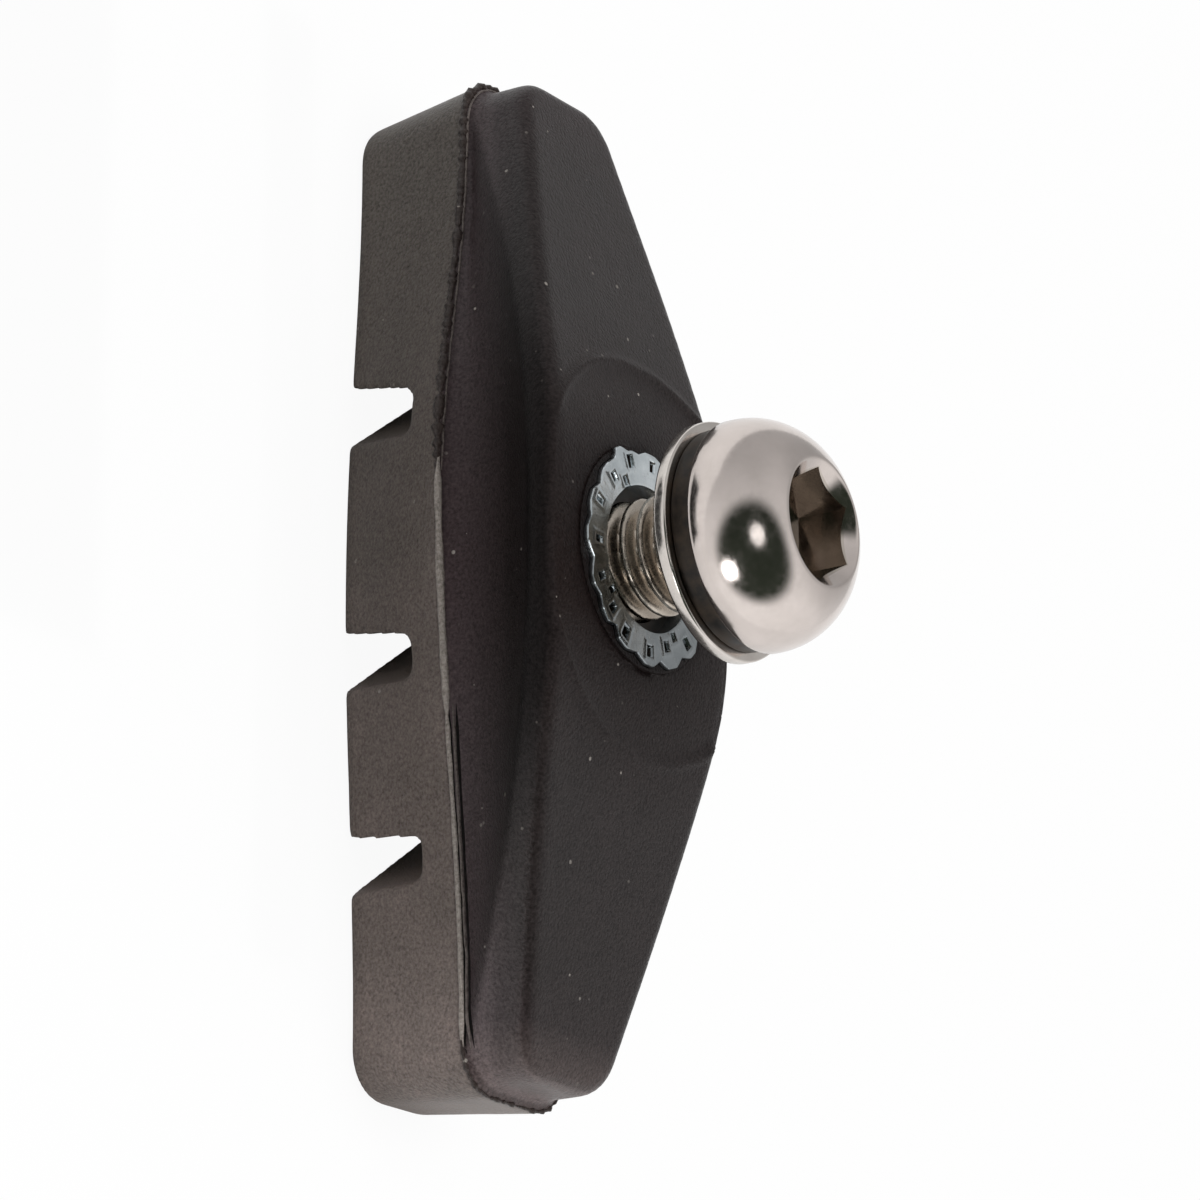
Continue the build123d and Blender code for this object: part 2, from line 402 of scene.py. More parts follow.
def turned(name, rings, sharp_angle):
    """Closed skin through rings of points, each an array of (radius, height) round the bolt's axis.

    The first and last rings are closed by a point at their middle.
    """
    segments = rings[0].shape[0]
    angle = even_turns(segments)
    radius = np.array([ring[:, 0] for ring in rings])
    height = np.array([ring[:, 1] for ring in rings])
    points = np.stack([radius * np.cos(angle), radius * np.sin(angle), height], axis=2).reshape(-1, 3)
    faces = grid_faces(len(rings), segments)
    first_middle = len(points)
    last_middle = first_middle + 1
    last_start = (len(rings) - 1) * segments
    for column in range(segments):
        following = (column + 1) % segments
        faces.append([first_middle, following, column])
        faces.append([last_middle, last_start + column, last_start + following])
    middles = [[0, 0, float(rings[0][:, 1].mean())], [0, 0, float(rings[-1][:, 1].mean())]]
    return mesh_from(name, points.tolist() + middles, faces, sharp_angle)


def ring_of(segments, radius, height):
    """One ring for turned(), with a radius and height that may vary round it."""
    full = np.zeros((segments, 2))
    full[:, 0] = radius
    full[:, 1] = height
    return full


def rings_of(segments, *profile):
    """Rings for turned(), one for each radius and height of a profile."""
    return [ring_of(segments, radius, height) for radius, height in profile]


def smooth_step(low, high, value):
    """0 below low, 1 above high, and an easy change between."""
    share = np.clip((value - low) / (high - low), 0.0, 1.0)
    return share * share * (3 - 2 * share)


def perlin(points, size, shift=0.0):
    """Smooth noise from -1 to 1 at each point, with features of a given size."""
    move = Vector((shift, shift, shift))
    return np.array([noise.noise(Vector(point / size) + move) for point in points])


# Rubber block


def remeshed_block():
    """The CAD block on an even fine grid, with its edges eased."""
    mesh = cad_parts["brake_block"].data.copy()
    mesh.materials.clear()
    mesh.transform(Matrix.Scale(1 / MM, 4))
    work = placed("block_work", mesh)
    remesh = work.modifiers.new("even grid", "REMESH")
    remesh.mode = "VOXEL"
    remesh.voxel_size = GRID / MM
    ease = work.modifiers.new("eased edges", "SMOOTH")
    ease.factor = EASE
    ease.iterations = EASE_ROUNDS
    graph = bpy.context.evaluated_depsgraph_get()
    fine = bpy.data.meshes.new_from_object(work.evaluated_get(graph))
    bpy.data.objects.remove(work)
    fine.transform(Matrix.Scale(MM, 4))
    return fine


def roof_level(x):
    """Height of the roof at a place along the pad."""
    return block_high.z - np.maximum(0.0, np.abs(x) - LAND_HALF_LENGTH) * math.tan(ROOF_SLOPE)


def ease_weight(points):
    """How far each point is eased: the back only, away from the insert, the roof's rim and the ends."""
    above = points[:, 2] - RIDGE_TOP
    weight = smooth_step(*BACK_EASE, above)
    ledge = np.flatnonzero((above > -LEDGE_SLACK) & (above < BACK_EASE[1]))
    path, _ = ridge_path()
    to_edge = np.array([np.hypot(*(path - points[place, :2]).T).min() for place in ledge])
    weight[ledge] = np.maximum(weight[ledge], smooth_step(*LEDGE_EASE, to_edge))
    weight *= smooth_step(*SEAT_EASE, np.hypot(points[:, 0], points[:, 1]))
    weight *= smooth_step(*RIM_EASE, roof_level(points[:, 0]) - points[:, 2])
    return weight * (1 - smooth_step(*END_EASE, np.abs(points[:, 0]) / block_high.x))


def ease_back(mesh):
    """Softer folds above the ridge."""
    points = vertex_array(mesh)
    weight = ease_weight(points)
    ends = np.zeros(len(mesh.edges) * 2, np.int32)
    mesh.edges.foreach_get("vertices", ends)
    first, second = ends.reshape(-1, 2).T
    total = len(points)
    neighbours = np.bincount(np.concatenate([first, second]), minlength=total)
    for _ in range(BACK_EASE_ROUNDS):
        for axis in range(3):
            values = points[:, axis]
            around = np.bincount(first, values[second], total) + np.bincount(second, values[first], total)
            points[:, axis] = values + EASE * weight * (around / neighbours - values)
    move_vertices(mesh, points)


def mould_marks(mesh):
    """Slight waviness of the rubber, and the round line that the mould left on the roof."""
    points = vertex_array(mesh)
    normals = vertex_array(mesh, "normal")
    lift = UNDULATION * perlin(points, UNDULATION_SIZE)
    off_line = np.hypot(*(points[:, :2] - WITNESS_MIDDLE).T) - WITNESS_RADIUS
    roof = smooth_step(*ROOF_FACING, normals[:, 2]) * (points[:, 2] > RIDGE_TOP)
    line = WITNESS_LINE * np.exp(-((off_line / WITNESS_WIDTH) ** 2))
    step = WITNESS_STEP * smooth_step(-WITNESS_WIDTH, WITNESS_WIDTH, off_line)
    lift += roof * (line + step - WITNESS_STEP)
    lift *= smooth_step(0.0, GRID, points[:, 2])
    move_vertices(mesh, points + normals * lift[:, None])


def scoop_place(points):
    """How far each point is from the middle of the scoop's tube, and how high above it."""
    bow = math.hypot(SCOOP_DROP, SCOOP_DRAW_IN)
    ring = (SCOOP_HALF_LENGTH**2 + bow**2) / (2 * bow)
    out = np.abs(points[:, 1]) - SCOOP_REACH + ring * SCOOP_DRAW_IN / bow
    up = points[:, 2] - SCOOP_LEVEL + ring * SCOOP_DROP / bow
    across = (out * SCOOP_DROP - up * SCOOP_DRAW_IN) / bow
    rise = np.hypot(points[:, 0], (out * SCOOP_DRAW_IN + up * SCOOP_DROP) / bow) - ring
    return np.hypot(rise, across), rise


def painted_light_and_shade(mesh):
    """Painted light and shade of the rubber at each vertex: darker up the scoops, lighter on the walls at
    the ends.
    """
    points = vertex_array(mesh)
    normals = vertex_array(mesh, "normal")
    off_tube, rise = scoop_place(points)
    back = smooth_step(RIDGE_TOP, RIDGE_TOP + SCOOP_EDGE, points[:, 2])
    scoop = back * (1 - smooth_step(SCOOP_RADIUS, SCOOP_RADIUS + SCOOP_EDGE, off_tube))
    wall = back * (1 - scoop) * (1 - smooth_step(*WALL_FACING, normals[:, 2]))
    height = smooth_step(SCOOP_FOOT, SCOOP_CREASE, rise)
    in_scoop = SCOOP_TONES[0] * (1 - height) + SCOOP_TONES[1] * height
    far_end = WALL_TONES[0] * smooth_step(*WALL_RUN, points[:, 0])
    near_end = WALL_TONES[1] * smooth_step(*WALL_RUN, -points[:, 0])
    return 1 + scoop * (in_scoop - 1) + wall * (far_end + near_end)


def ridge_path():
    """Evenly spaced points round the moulding ridge, and the way out of the block at each."""
    points = vertex_array(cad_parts["brake_block"].data)
    rim = points[np.abs(points[:, 2] - RIDGE_LEVEL) < LEVEL_SLACK][:, :2]
    rim = np.unique(np.round(rim / LEVEL_SLACK) * LEVEL_SLACK, axis=0)
    rim = rim[np.argsort(np.arctan2(rim[:, 1], rim[:, 0]))]
    loop = np.vstack([rim, rim[:1]])
    run = np.concatenate([[0.0], np.cumsum(np.linalg.norm(np.diff(loop, axis=0), axis=1))])
    count = int(run[-1] / FLASH_SPACING)
    places = np.arange(count) * run[-1] / count
    path = np.stack([np.interp(places, run, loop[:, axis]) for axis in (0, 1)], axis=1)
    along = np.roll(path, -HEADING_SPAN, axis=0) - np.roll(path, HEADING_SPAN, axis=0)
    along /= np.linalg.norm(along, axis=1)[:, None]
    outward = np.stack([along[:, 1], -along[:, 0]], axis=1)
    return path, outward


def blurred(values):
    """Mean of each value of a closed row and its neighbours."""
    moves = range(-NORMAL_BLUR, NORMAL_BLUR + 1)
    return sum(np.roll(values, move, axis=0) for move in moves) / len(moves)


def seats_on(skin, places, lift):
    """Nearest points of the block's skin to places by the ridge's top, and the skin's normals there."""
    spots, normals = [], []
    for x, y in places:
        spot, normal, _, _ = skin.find_nearest((x, y, RIDGE_TOP + lift))
        spots.append(spot)
        normals.append(normal)
    normals = blurred(np.array(normals))
    return blurred(np.array(spots)), normals / np.linalg.norm(normals, axis=1)[:, None]


def shown_runs(shown):
    """Stretches of a closed row in which something is shown, each as its places in order."""
    count = len(shown)
    runs = []
    for start in range(count):
        if not shown[start] or shown[start - 1]:
            continue
        run = [start]
        while shown[(run[-1] + 1) % count]:
            run.append((run[-1] + 1) % count)
        if len(run) >= SHORTEST_RUN:
            runs.append(run)
    return runs


def bead_mesh(skin, path, outward, inset, lift, width, height):
    """Beads that lie on the block's skin along the ridge, one for each stretch that has a width."""
    spots, normals = seats_on(skin, path - outward * inset, lift)
    along = np.column_stack([-outward[:, 1], outward[:, 0], np.zeros(len(path))])
    side = np.cross(along, normals)
    turn = even_turns(FLASH_SIDES)
    points, faces = [], []
    for run in shown_runs(width > LEAST_WIDTH):
        across = width[run, None, None] * np.cos(turn)[None, :, None] * side[run, None, :]
        rise = height[run, None, None] * np.sin(turn)[None, :, None] * normals[run, None, :]
        start = len(points)
        points += (spots[run, None, :] + across + rise).reshape(-1, 3).tolist()
        faces += [[start + corner for corner in face] for face in grid_faces(len(run), FLASH_SIDES)]
        faces.append(list(range(start, start + FLASH_SIDES)))
        faces.append(list(range(len(points) - FLASH_SIDES, len(points))))
    return mesh_from("bead", points, faces)


def between(low, high, value):
    """1 between two places along the pad, with an easy change at each."""
    opening = smooth_step(low - 0.5 * FLASH_CHANGE, low + 0.5 * FLASH_CHANGE, value)
    return opening * (1 - smooth_step(high - 0.5 * FLASH_CHANGE, high + 0.5 * FLASH_CHANGE, value))


def flash_lines(path):
    """Lines of the flash: for each its material, size, strength along the path and raggedness."""
    x = path[:, 0]
    flat = np.column_stack([path, np.zeros(len(path))])
    grain = perlin(flat, FLASH_GRAIN)
    wave = perlin(flat, FLASH_WAVE, shift=WAVE_SHIFT)
    ragged = 1 - between(RAGGED_END, DOUBLE_END, x)
    start = ragged * (x < 0)
    finish = ragged * (x > 0)
    band = between(RAGGED_END, BAND_END, x)
    double = between(BAND_END, DOUBLE_END, x)
    spots = smooth_step(*SPOT_WAVE, wave) * smooth_step(*SPOT_GRAIN, grain)
    rough = ROUGH_GRAIN * grain + ROUGH_WAVE * wave
    even = EVEN_WAVE * wave
    # pale lines and glint spots are painted highlights, the darkest lines painted shadow
    return [
        ("lip", LIP, start, rough),
        ("lip", TIP_LIP, finish, rough),
        ("painted_light", GLINT, start * spots, rough),
        ("dim_highlight", LIP_LINE, start, even),
        ("painted_light", BAND, band, even),
        ("painted_light", OUTER_LINE, double, even),
        ("dim_highlight", INNER_LINE, double, even),
        ("cleft_shadow", LINE_SHADOW, double, even),
        ("cleft_shadow", INNER_SHADOW, double, even),
    ]


def flash_meshes(skin):
    """Flash on the ridge: ragged at one end, then a band, then two fine lines, with pale lines as painted
    highlights and dark strips as painted shadow; a mesh for each line.
    """
    path, outward = ridge_path()
    off_peak = np.hypot(*(path - PEAK_PLACE).T)
    peak = PEAK_RISE * np.exp(-((off_peak / PEAK_SIZE) ** 2))
    made = []
    for material, (half_width, height, inset, lift), strength, uneven in flash_lines(path):
        size = strength * np.maximum(1 + uneven, LEAST_SIZE)
        tall = height * size
        if material == "lip":
            tall = tall + peak
        bead = bead_mesh(skin, path, outward, inset, lift, half_width * size, tall)
        made.append((material, bead))
    return made


def collar_mesh():
    """Ring of rubber that closes the seat up to the uneven rim of the insert's flange."""
    segments = TEETH * TOOTH_SEGMENTS
    angle = even_turns(segments)
    inner = seated_rim(angle) + CLOSE_FIT
    outer = np.full(segments, insert_high.x + CLOSE_REACH)
    low, high = block_high.z - CLOSE_DEPTH, block_high.z - CLOSE_SINK
    corners = ((inner, low), (inner, high), (outer, high), (outer, low))
    points = np.zeros((segments, len(corners), 3))
    for place, (radius, height) in enumerate(corners):
        points[:, place, 0] = radius * np.cos(angle)
        points[:, place, 1] = radius * np.sin(angle)
        points[:, place, 2] = height
    faces = grid_faces(segments, len(corners), closed_rows=True)
    return mesh_from("collar", points.reshape(-1, 3).tolist(), faces, SHARP_ANGLE)


def make_block(materials):
    """Rubber block with its mould marks and flash, as one piece, with painted light and shade kept as a
    vertex attribute.
    """
    mesh = remeshed_block()
    ease_back(mesh)
    mould_marks(mesh)
    # painted light and shade of the rubber, kept as the tone attribute
    tone = painted_light_and_shade(mesh)
    for material in materials.values():
        mesh.materials.append(material)
    shape = bmesh.new()
    shape.from_mesh(mesh)
    skin = BVHTree.FromBMesh(shape)
    for name, line in [("rubber", collar_mesh())] + flash_meshes(skin):
        before = len(shape.faces)
        shape.from_mesh(line)
        shape.faces.ensure_lookup_table()
        for face in shape.faces[before:]:
            face.material_index = list(materials).index(name)
    shape.to_mesh(mesh)
    shape.free()
    mesh.shade_smooth()
    tone = np.append(tone, np.ones(len(mesh.vertices) - len(tone)))
    mesh.attributes.new("tone", "FLOAT", "POINT").data.foreach_set("value", tone.astype(np.float32))
    return new_piece("rubber_block", mesh, "rubber", "brake_block")


# Insert


def turn_between(angle, middle):
    """Size of the turn from each angle to a middle one."""
    return np.abs((angle - middle + math.pi) % (2 * math.pi) - math.pi)


def rim_shape(angle):
    """Radius of the flange's rim: set to one side, unevenly notched, with one burr."""
    rng = random.Random(SEED)
    pitch = 2 * math.pi / TEETH
    depth = np.zeros(len(angle))
    for tooth in range(TEETH):
        middle = (tooth + 0.5 + rng.uniform(-TOOTH_SHIFT, TOOTH_SHIFT)) * pitch
        half_width = pitch * rng.uniform(*NOTCH_WIDTHS)
        deep = NOTCH_DEPTH * rng.uniform(*NOTCH_DEPTHS)
        notch = np.clip(1 - turn_between(angle, middle) / half_width, 0.0, 1.0)
        depth = np.maximum(depth, deep * notch)
    burr = BURR_REACH * np.clip(1 - turn_between(angle, BURR_ANGLE) / BURR_HALF_ANGLE, 0.0, 1.0)
    return RIM_RADIUS + RIM_SHIFT * np.sin(angle) - depth + burr


def seated_rim(angle):
    """Radius of the rim where it sits in the rubber, without the part of the burr that stands out."""
    return np.minimum(rim_shape(angle), insert_high.x - 0.5 * FLANGE_EDGE)


def pocket_places(rng):
    """Angle, radius and size of each pocket in the flange's top."""
    pitch = 2 * math.pi / TEETH
    places = []
    for tooth in range(TEETH):
        turn = tooth * pitch + rng.uniform(-POCKET_TURN, POCKET_TURN)
        places.append((turn, POCKET_RADIUS + rng.uniform(*POCKET_SHIFT), rng.uniform(*POCKET_SIZES)))
        if tooth % INNER_POCKET_EVERY == 1:
            places.append((turn + 0.5 * pitch, INNER_POCKET_RADIUS, POCKET_SIZES[0]))
    return places


def pocket_shape(angle, radius, places):
    """Depth of the pockets at each angle and radius, and the small lip round them."""
    depth = np.zeros(len(angle))
    lip = np.zeros(len(angle))
    for turn, middle, size in places:
        across = turn_between(angle, turn) * middle - 0.5 * POCKET_WIDTH * size
        along = np.abs(radius - middle) - 0.5 * POCKET_LENGTH * size
        outside = np.maximum(across, along)
        depth = np.maximum(depth, POCKET_DEPTH * (1 - smooth_step(-POCKET_WALL, 0.0, outside)))
        lip = np.maximum(lip, POCKET_LIP * np.exp(-((outside / POCKET_WALL - 1) ** 2)))
    return depth, np.where(depth > 0, 0.0, lip)


def sunk_faces(sunk):
    """Faces between rings of which more than half is sunk."""
    over_columns = sunk + np.roll(sunk, -1, axis=1)
    return np.flatnonzero((over_columns[:-1] + over_columns[1:]).ravel() > 2)


def insert_rings():
    """Rings of the insert from its foot over the flange to the floor of its hole, and its faces painted dark
    as shade.
    """
    segments = TEETH * TOOTH_SEGMENTS
    angle = even_turns(segments)
    foot, top = insert_low.z, insert_high.z
    rim = rim_shape(angle)
    seated = seated_rim(angle)
    places = pocket_places(random.Random(SEED + 1))
    bend = EDGE_MIDDLE * FLANGE_EDGE
    rings = rings_of(
        segments,
        (COLLAR_RADIUS, foot),
        (COLLAR_RADIUS, foot + COLLAR_THICKNESS),
        (BARREL_RADIUS, foot + COLLAR_THICKNESS),
        (BARREL_RADIUS, top - FLANGE_THICKNESS),
        (seated - FLANGE_EDGE, top - FLANGE_THICKNESS),
        (seated, top - FLANGE_THICKNESS + FLANGE_EDGE),
        (seated, block_high.z),
        (rim, block_high.z + 0.5 * FLANGE_EDGE),
        (rim, top - FLANGE_EDGE),
        (rim - bend, top - bend),
    )
    sunk = [np.zeros(segments) for _ in rings]
    for step in range(FLANGE_STEPS + 1):
        share = step / FLANGE_STEPS
        radius = (rim - FLANGE_EDGE) * (1 - share) + (MOUTH_RADIUS + FLANGE_EDGE) * share
        depth, lip = pocket_shape(angle, radius, places)
        rings.append(ring_of(segments, radius, top - POCKET_LIP - depth + lip))
        sunk.append(depth / POCKET_DEPTH)
    rings += rings_of(
        segments,
        (MOUTH_RADIUS + bend, top - POCKET_LIP - bend),
        (MOUTH_RADIUS, top - POCKET_LIP - FLANGE_EDGE),
        (MOUTH_RADIUS, top - MOUTH_DEPTH),
        (HOLE_RADIUS, top - MOUTH_DEPTH),
        (HOLE_RADIUS, foot + INSERT_FLOOR),
    )
    sunk += [np.zeros(segments)] * 2 + [np.ones(segments)] * 3
    return rings, sunk_faces(np.array(sunk))


def make_insert(material, painted_shade_metal):
    """Zinc-plated insert with its notched flange and ring of pockets, whose deep faces and hole are painted
    dark as shade.
    """
    rings, dark = insert_rings()
    mesh = turned("insert", rings, SHARP_ANGLE)
    mesh.materials.append(material)
    mesh.materials.append(painted_shade_metal)
    for face in dark:
        mesh.polygons[face].material_index = 1
    return new_piece("zinc_insert", mesh, "zinc", "threaded_insert")


# Washers


def rounded_section(inner, outer, low, high, edge):
    """Points of a washer's section, with rounded corners."""
    points = []
    corners = (
        (outer - edge, high - edge, 0.5 * math.pi),
        (inner + edge, high - edge, math.pi),
        (inner + edge, low + edge, 1.5 * math.pi),
        (outer - edge, low + edge, 2 * math.pi),
    )
    for radius, height, finish in corners:
        for step in range(CORNER_STEPS + 1):
            turn = finish - 0.5 * math.pi * (1 - step / CORNER_STEPS)
            points.append((radius + edge * math.cos(turn), height + edge * math.sin(turn)))
    return np.array(points)


def swept(section, angle):
    """Points of a washer's section at each angle round the bolt's axis."""
    across = np.outer(np.cos(angle), section[:, 0])
    along = np.outer(np.sin(angle), section[:, 0])
    height = np.outer(np.ones(len(angle)), section[:, 1])
    return np.stack([across, along, height], axis=2).reshape(-1, 3).tolist()


def make_washer(material):
    """Bright flat washer with rolled edges."""
    section = rounded_section(WASHER_HOLE, washer_high.x, washer_low.z, washer_high.z, WASHER_EDGE)
    faces = grid_faces(LATHE_SEGMENTS, len(section), closed_rows=True)
    mesh = mesh_from("washer", swept(section, even_turns(LATHE_SEGMENTS)), faces, SHARP_ANGLE)
    mesh.materials.append(material)
    return new_piece("plain_washer", mesh, "bright_plate", "flat_washer")


def make_ring(material):
    """Dark spring ring with a narrow split on the far side."""
    section = rounded_section(WASHER_HOLE, ring_high.x, ring_low.z, ring_high.z, RING_EDGE)
    half_gap = 0.5 * RING_SPLIT / (0.5 * (WASHER_HOLE + ring_high.x))
    start = 0.5 * math.pi + half_gap
    angle = np.linspace(start, start + 2 * (math.pi - half_gap), LATHE_SEGMENTS)
    count = len(section)
    last = (LATHE_SEGMENTS - 1) * count
    faces = grid_faces(LATHE_SEGMENTS, count)
    faces.append(list(range(count)))
    faces.append(list(range(last, last + count)))
    mesh = mesh_from("ring", swept(section, angle), faces, SHARP_ANGLE)
    mesh.materials.append(material)
    return new_piece("spring_ring", mesh, "dark_steel", "lock_washer")


# Bolt


def thread_rings(low, high):
    """Rings of a helical thread between two heights, fading out at both ends."""
    angle = even_turns(BOLT_SEGMENTS)
    count = int((high - low) / THREAD_PITCH * THREAD_STEPS)
    rings = []
    for step in range(count + 1):
        height = low + (high - low) * step / count
        phase = (height / THREAD_PITCH - angle / (2 * math.pi)) % 1.0
        groove = smooth_step(*THREAD_GROOVE, 0.5 - np.abs(phase - 0.5))
        fade = min(1.0, (height - low) / THREAD_PITCH, (high - height) / THREAD_PITCH)
        rings.append(ring_of(BOLT_SEGMENTS, THREAD_RADIUS - THREAD_DEPTH * groove * fade, height))
    return rings


def dome_rings(rim_height):
    """Rings of the domed head from its rim to the flat round the socket."""
    radius, top = bolt_high.x, bolt_high.z
    inset = radius - HEAD_FLAT_RADIUS
    rise = top - rim_height
    bend = (inset**2 + rise**2) / (2 * inset)
    finish = math.asin(rise / bend)
    turns = [finish * step / DOME_STEPS for step in range(DOME_STEPS + 1)]
    profile = [(radius - bend + bend * math.cos(turn), rim_height + bend * math.sin(turn)) for turn in turns]
    return rings_of(BOLT_SEGMENTS, *profile)


def socket_rings():
    """Rings of the hexagon socket, from its round mouth down to its floor."""
    top = bolt_high.z
    angle = even_turns(BOLT_SEGMENTS)
    sixth = math.pi / 3
    flats = 0.5 * SOCKET_FLATS / np.cos(angle % sixth - 0.5 * sixth)
    lip_drop = (SOCKET_RIM_RADIUS - flats) * math.tan(SOCKET_LIP_SLOPE)
    rings = [ring_of(BOLT_SEGMENTS, SOCKET_RIM_RADIUS + SOCKET_LAND, top)]
    for step in range(LIP_STEPS + 1):
        share = step / LIP_STEPS
        radius = SOCKET_RIM_RADIUS * (1 - share) + flats * share
        rings.append(ring_of(BOLT_SEGMENTS, radius, top - SOCKET_EDGE - lip_drop * share))
    floor = top - SOCKET_DEPTH
    for step in range(1, WALL_STEPS + 1):
        share = step / WALL_STEPS
        rings.append(ring_of(BOLT_SEGMENTS, flats, (top - lip_drop) * (1 - share) + floor * share))
    for share in SOCKET_FLOOR_SHARES:
        rings.append(ring_of(BOLT_SEGMENTS, flats * share, floor - SOCKET_POINT * (1 - share)))
    return rings


def make_bolt(plated, threaded, dull):
    """Chrome bolt: helical thread, domed head and hexagon socket."""
    tip, seat = bolt_low.z, ring_high.z
    radius = bolt_high.x
    bend = EDGE_MIDDLE * HEAD_EDGE
    rings = rings_of(
        BOLT_SEGMENTS,
        (THREAD_RADIUS - TIP_CHAMFER, tip),
        (THREAD_RADIUS - THREAD_START, tip + TIP_CHAMFER),
    )
    rings += thread_rings(tip + TIP_CHAMFER + THREAD_START, seat - THREAD_STOP)
    thread_faces = (len(rings) - 1) * BOLT_SEGMENTS
    rings += rings_of(
        BOLT_SEGMENTS,
        (THREAD_RADIUS, seat),
        (radius - HEAD_EDGE, seat),
        (radius - bend, seat + bend),
        (radius, seat + HEAD_EDGE),
    )
    rings += dome_rings(seat + HEAD_RIM)
    socket_start = (len(rings) + LIP_STEPS) * BOLT_SEGMENTS
    rings += socket_rings()
    socket_end = (len(rings) - 1) * BOLT_SEGMENTS
    mesh = turned("bolt", rings, BOLT_SHARP_ANGLE)
    mesh.materials.append(plated)
    mesh.materials.append(threaded)
    mesh.materials.append(dull)
    for face in mesh.polygons[:thread_faces]:
        face.material_index = 1
    for face in mesh.polygons[socket_start:socket_end]:
        face.material_index = 2
    return new_piece("chrome_bolt", mesh, "chrome", "clamp_bolt")


# Materials


class Nodes:
    """Node tree of a material or world, and short ways to add to it that pass output sockets on."""

    def __init__(self, owner):
        owner.use_nodes = True
        self.tree = owner.node_tree
        self.tree.nodes.clear()

    def give(self, node, socket, value):
        """Output socket or constant for an input of a node."""
        if isinstance(value, bpy.types.NodeSocket):
            self.tree.links.new(value, node.inputs[socket])
        else:
            node.inputs[socket].default_value = value

    def node(self, kind, values=None, **settings):
        """New node with its settings and what its inputs are given."""
        made = self.tree.nodes.new(kind)
        for key, value in settings.items():
            setattr(made, key, value)
        for socket, value in (values or {}).items():
            self.give(made, socket, value)
        return made

    def spread(self, source, low, high, to_low, to_high, change="LINEAR"):
        """Value moved from one range to another."""
        values = {"Value": source, "From Min": low, "From Max": high, "To Min": to_low, "To Max": to_high}
        return self.node("ShaderNodeMapRange", values, interpolation_type=change).outputs["Result"]

    def math(self, operation, first, second):
        """Arithmetic on two values."""
        return self.node("ShaderNodeMath", {0: first, 1: second}, operation=operation).outputs["Value"]

    def length(self, vector):
        """Length of a vector."""
        return self.node("ShaderNodeVectorMath", {0: vector}, operation="LENGTH").outputs["Value"]

    def blend(self, amount, first, second):
        """Two shaders mixed by an amount."""
        return self.node("ShaderNodeMixShader", {"Fac": amount, 1: first, 2: second}).outputs["Shader"]

    def mix(self, amount, base, color):
        """A colour laid over another by an amount."""
        values = {"Factor": amount, 6: base, 7: (*color, 1)}
        return self.node("ShaderNodeMix", values, data_type="RGBA").outputs[2]


class Shader(Nodes):
    """Material with a principled surface, and short ways to add textures to it."""

    def __init__(self, name):
        self.material = bpy.data.materials.new(name)
        super().__init__(self.material)
        self.surface = self.node("ShaderNodeBsdfPrincipled")
        self.node("ShaderNodeOutputMaterial", {"Surface": self.surface.outputs["BSDF"]})
        self.place = self.node("ShaderNodeTexCoord").outputs["Object"]
        self.x, self.y, self.z = self.node("ShaderNodeSeparateXYZ", {"Vector": self.place}).outputs

    def set(self, socket, value):
        """Output socket or constant for an input of the surface."""
        self.give(self.surface, socket, value)

    def noise(self, size, detail=4.0, roughness=0.55):
        """Noise texture with features of a given size in metres."""
        values = {"Vector": self.place, "Scale": 1 / size, "Detail": detail, "Roughness": roughness}
        return self.node("ShaderNodeTexNoise", values).outputs["Fac"]

    def ramp(self, source, low, high, low_color, high_color):
        """Colour ramp between two colours."""
        made = self.node("ShaderNodeValToRGB", {"Fac": source})
        made.color_ramp.elements[0].position = low
        made.color_ramp.elements[1].position = high
        made.color_ramp.elements[0].color = (*low_color, 1)
        made.color_ramp.elements[1].color = (*high_color, 1)
        return made.outputs["Color"]

    def scale(self, color, amount):
        """A colour made lighter or darker by an amount."""
        made = self.node("ShaderNodeVectorMath", {0: color, "Scale": amount}, operation="SCALE")
        return made.outputs["Vector"]

    def bump(self, source, strength, distance, after=None):
        """Bump from a texture, over an earlier bump."""
        made = self.node("ShaderNodeBump", {"Height": source, "Strength": strength, "Distance": distance})
        if after is not None:
            self.give(made, "Normal", after)
        return made.outputs["Normal"]


def painted_rim_shade(shader):
    """Painted shade: 1 on most of the rubber, and less on a band under the roof's rim, darkest at mid
    length.
    """
    top = block_high.z
    half = shader.math("ABSOLUTE", shader.x, 0.0)
    on_slope = shader.math("MAXIMUM", shader.math("SUBTRACT", half, LAND_HALF_LENGTH), 0.0)
    fall = shader.math("MULTIPLY", on_slope, math.tan(ROOF_SLOPE))
    height = shader.math("ADD", shader.z, fall)
    entry = shader.spread(height, top - RIM_BAND_TOP[1], top - RIM_BAND_TOP[0], 1.0, 0.0)
    leaving = shader.spread(height, top - RIM_BAND_FOOT[1], top - RIM_BAND_FOOT[0], 0.0, 1.0)
    strength = shader.spread(half, *RIM_BAND_RUN, *RIM_BAND_SHADES)
    shade = shader.math("MULTIPLY", shader.math("MULTIPLY", entry, leaving), strength)
    return shader.spread(shade, 0.0, 1.0, 1.0, 0.0)


